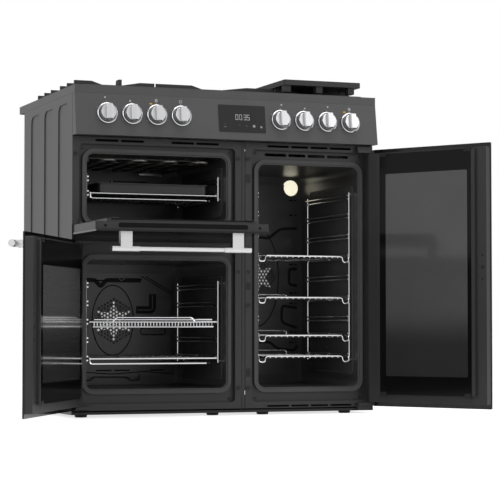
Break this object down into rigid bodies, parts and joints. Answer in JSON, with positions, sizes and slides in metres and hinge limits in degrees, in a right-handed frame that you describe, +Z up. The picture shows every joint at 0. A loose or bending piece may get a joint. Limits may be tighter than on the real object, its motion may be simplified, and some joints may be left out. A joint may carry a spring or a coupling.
{
  "type": "range cooker",
  "caption": "Freestanding range cooker: gas hob with griddle, sloping knob fascia, drop-door grill oven over a side-opening main oven, tall side oven; doors open.",
  "frame": {"origin": "on the floor, midway across the cooker, under the front lip of the hob", "axes": "+X across the front from left to right, +Y from the front to the back, +Z up"},
  "size_m": [1.3903, 1.0335, 0.955],
  "materials": {
    "base": "satin",
    "case": "satin",
    "zinc": "dull",
    "front": "satin",
    "enamel": "gloss",
    "enamel_cover": "gloss",
    "seal": "matte",
    "element": "dull",
    "wire": "polished",
    "lamp": "clear",
    "display": "gloss",
    "trim": "polished",
    "hob": "satin",
    "burner": "cast",
    "iron": "matte",
    "griddle": "matte",
    "foot": "matte",
    "hinge": "satin",
    "plastic": "matte",
    "door_frame": "satin",
    "door_glass": "gloss",
    "inner_glass": "gloss",
    "handle": "brushed",
    "knob": "brushed",
    "pan": "gloss"
  },
  "bodies": {
    "cooker": {"base_frame": "base", "side_panels": "case", "back_panel": "zinc", "front_frame_left": "front", "front_frame_right": "front", "centre_strip": "front", "grill_liner": "enamel", "main_liner": "enamel", "tall_liner": "enamel", "seals_and_buffers": "seal", "grill_element": "element", "fan_covers": "enamel_cover", "ring_elements": "element", "fan_motors": "zinc", "side_racks": "wire", "lamp_lenses": "lamp", "fascia": "case", "display_glass": "display", "knob_bezels": "trim", "gas_rail": "zinc", "hob_tray": "hob", "burner_bodies": "burner", "burner_caps": "iron", "feet": "foot", "hinge_brackets": "hinge", "terminal_cover": "plastic"},
    "main_door": {"main_door_frame": "door_frame", "main_door_glass": "door_glass", "main_door_inner_glass": "inner_glass", "main_door_handle": "handle"},
    "tall_door": {"tall_door_frame": "door_frame", "tall_door_glass": "door_glass", "tall_door_inner_glass": "inner_glass", "tall_door_handle": "handle"},
    "grill_door": {"grill_door_frame": "door_frame", "grill_door_glass": "door_glass", "grill_door_inner_glass": "inner_glass", "grill_door_handle": "handle"},
    "knob_1": {"knob_1": "knob"},
    "knob_2": {"knob_2": "knob"},
    "knob_3": {"knob_3": "knob"},
    "knob_4": {"knob_4": "knob"},
    "knob_5": {"knob_5": "knob"},
    "knob_6": {"knob_6": "knob"},
    "knob_7": {"knob_7": "knob"},
    "knob_8": {"knob_8": "knob"},
    "main_fan": {"main_fan": "zinc"},
    "tall_fan": {"tall_fan": "zinc"},
    "grill_shelf": {"grill_shelf": "wire"},
    "grill_pan": {"grill_pan": "pan"},
    "main_shelf": {"main_shelf": "wire"},
    "main_low_shelf": {"main_low_shelf": "wire"},
    "tall_shelf_1": {"tall_shelf_1": "wire"},
    "tall_shelf_2": {"tall_shelf_2": "wire"},
    "tall_shelf_3": {"tall_shelf_3": "wire"},
    "tall_shelf_4": {"tall_shelf_4": "wire"},
    "pan_support_left": {"pan_support_left": "iron"},
    "pan_support_centre": {"pan_support_centre": "iron"},
    "pan_support_right": {"pan_support_right": "iron"},
    "griddle": {"griddle": "griddle"}
  },
  "joints": [
    {"name": "main_door_hinge", "type": "hinge", "parent": "cooker", "child": "main_door", "pos_m": [-0.4425, -0.0005, 0], "axis": [0, 0, -1], "range_deg": [-120.5, 0]},
    {"name": "tall_door_hinge", "type": "hinge", "parent": "cooker", "child": "tall_door", "pos_m": [0.4425, -0.0005, 0], "axis": [0, 0, 1], "range_deg": [-121, 0]},
    {"name": "grill_door_hinge", "type": "hinge", "parent": "cooker", "child": "grill_door", "pos_m": [0, 0.021, 0.531], "axis": [1, 0, 0], "range_deg": [-90, 0]},
    {"name": "knob_1_turn", "type": "hinge", "parent": "cooker", "child": "knob_1", "pos_m": [-0.3597, -0.00839, 0.8327], "axis": [0, -0.9887, 0.15], "range_deg": [0, 270]},
    {"name": "knob_2_turn", "type": "hinge", "parent": "cooker", "child": "knob_2", "pos_m": [-0.2883, -0.00839, 0.8327], "axis": [0, -0.9887, 0.15], "range_deg": [0, 270]},
    {"name": "knob_3_turn", "type": "hinge", "parent": "cooker", "child": "knob_3", "pos_m": [-0.2169, -0.00839, 0.8327], "axis": [0, -0.9887, 0.15], "range_deg": [0, 330]},
    {"name": "knob_4_turn", "type": "hinge", "parent": "cooker", "child": "knob_4", "pos_m": [-0.1455, -0.00839, 0.8327], "axis": [0, -0.9887, 0.15], "range_deg": [0, 330]},
    {"name": "knob_5_turn", "type": "hinge", "parent": "cooker", "child": "knob_5", "pos_m": [0.1525, -0.00839, 0.8327], "axis": [0, -0.9887, 0.15], "range_deg": [0, 270]},
    {"name": "knob_6_turn", "type": "hinge", "parent": "cooker", "child": "knob_6", "pos_m": [0.2239, -0.00839, 0.8327], "axis": [0, -0.9887, 0.15], "range_deg": [0, 270]},
    {"name": "knob_7_turn", "type": "hinge", "parent": "cooker", "child": "knob_7", "pos_m": [0.2953, -0.00839, 0.8327], "axis": [0, -0.9887, 0.15], "range_deg": [0, 270]},
    {"name": "knob_8_turn", "type": "hinge", "parent": "cooker", "child": "knob_8", "pos_m": [0.3667, -0.00839, 0.8327], "axis": [0, -0.9887, 0.15], "range_deg": [0, 330]},
    {"name": "main_fan_spin", "type": "hinge", "parent": "cooker", "child": "main_fan", "pos_m": [-0.2025, 0.451, 0.26568], "axis": [0, -1, 0], "continuous": true},
    {"name": "tall_fan_spin", "type": "hinge", "parent": "cooker", "child": "tall_fan", "pos_m": [0.2525, 0.451, 0.39932], "axis": [0, -1, 0], "continuous": true},
    {"name": "grill_shelf_slide", "type": "slide", "parent": "cooker", "child": "grill_shelf", "axis": [0, -1, 0], "range_m": [0, 0.2]},
    {"name": "main_shelf_slide", "type": "slide", "parent": "cooker", "child": "main_shelf", "axis": [0, -1, 0], "range_m": [0, 0.22]},
    {"name": "main_low_shelf_slide", "type": "slide", "parent": "cooker", "child": "main_low_shelf", "axis": [0, -1, 0], "range_m": [0, 0.22]},
    {"name": "tall_shelf_1_slide", "type": "slide", "parent": "cooker", "child": "tall_shelf_1", "axis": [0, -1, 0], "range_m": [0, 0.2]},
    {"name": "tall_shelf_2_slide", "type": "slide", "parent": "cooker", "child": "tall_shelf_2", "axis": [0, -1, 0], "range_m": [0, 0.2]},
    {"name": "tall_shelf_3_slide", "type": "slide", "parent": "cooker", "child": "tall_shelf_3", "axis": [0, -1, 0], "range_m": [0, 0.2]},
    {"name": "tall_shelf_4_slide", "type": "slide", "parent": "cooker", "child": "tall_shelf_4", "axis": [0, -1, 0], "range_m": [0, 0.2]},
    {"name": "grill_pan_lift", "type": "slide", "parent": "grill_shelf", "child": "grill_pan", "axis": [0, 0, 1], "range_m": [0, 0.02]},
    {"name": "pan_support_left_lift", "type": "slide", "parent": "cooker", "child": "pan_support_left", "axis": [0, 0, 1], "range_m": [0, 0.08]},
    {"name": "pan_support_centre_lift", "type": "slide", "parent": "cooker", "child": "pan_support_centre", "axis": [0, 0, 1], "range_m": [0, 0.08]},
    {"name": "pan_support_right_lift", "type": "slide", "parent": "cooker", "child": "pan_support_right", "axis": [0, 0, 1], "range_m": [0, 0.08]},
    {"name": "griddle_lift", "type": "slide", "parent": "pan_support_right", "child": "griddle", "axis": [0, 0, 1], "range_m": [0, 0.08]}
  ],
  "couplings": [
    {"joint": "grill_door_hinge", "follows": "main_door_hinge", "ratio": 0.74689}
  ]
}
